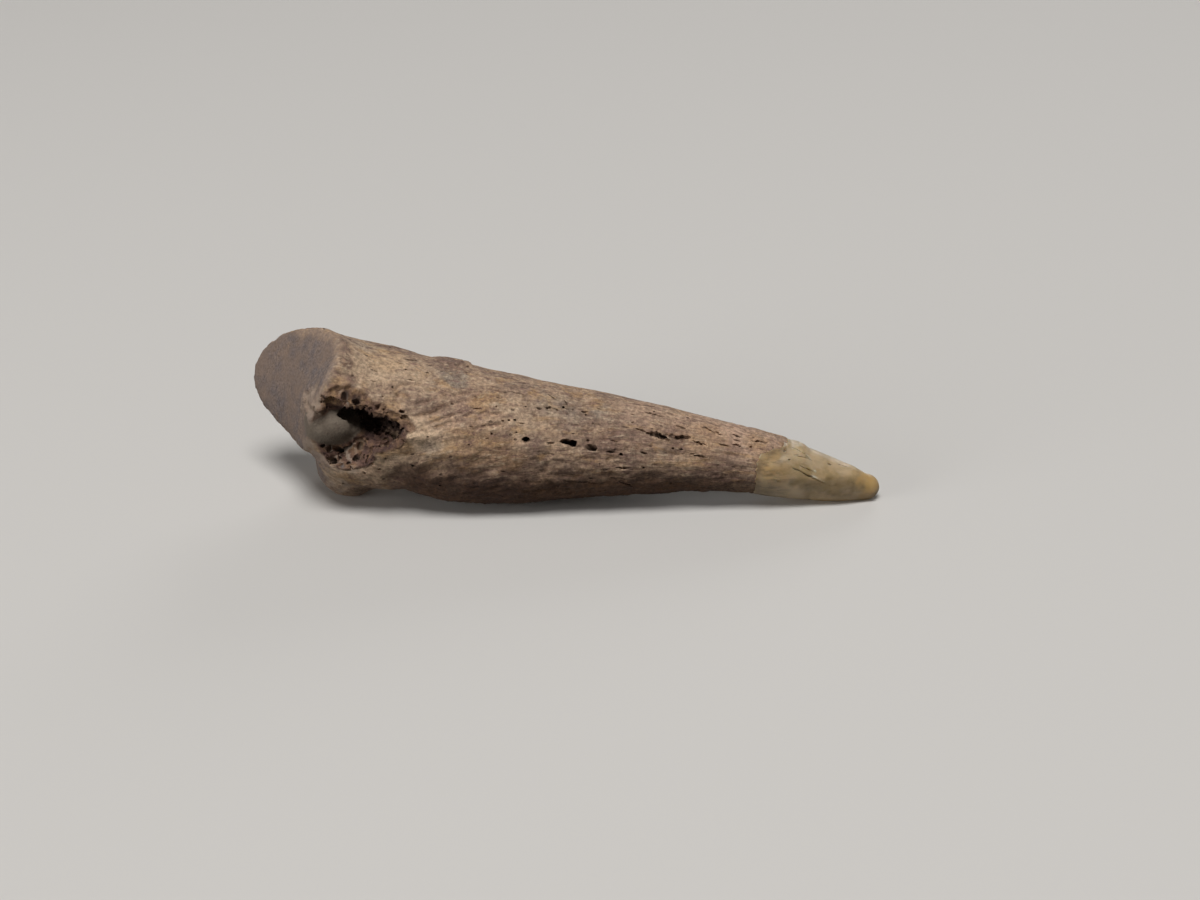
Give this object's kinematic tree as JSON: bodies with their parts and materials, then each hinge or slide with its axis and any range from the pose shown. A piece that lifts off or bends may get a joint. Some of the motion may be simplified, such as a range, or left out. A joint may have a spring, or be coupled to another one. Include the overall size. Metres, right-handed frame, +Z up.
{
  "type": "dinosaur fossil claw",
  "caption": "Weathered fossil claw bone lying on its underside: a grained, pitted cone with an oval joint face, a broken pocket beside it and a cloudy see-through point.",
  "frame": {"origin": "middle of the bounding box, on the surface the claw lies on", "axes": "+X from the joint face to the tip, +Z up, -Y the side with the broken pocket"},
  "size_m": [0.0408, 0.01, 0.0113],
  "materials": {
    "weathered_bone": "dry and matt, fine lengthwise grain with umber slits and pores; a smooth grey-brown joint face",
    "clear_tip": "waxy, cloudy yellow-grey, amber at the very end, semi-gloss"
  },
  "bodies": {
    "root": {"claw_bone": "weathered_bone", "claw_tip": "clear_tip"}
  },
  "joints": []
}
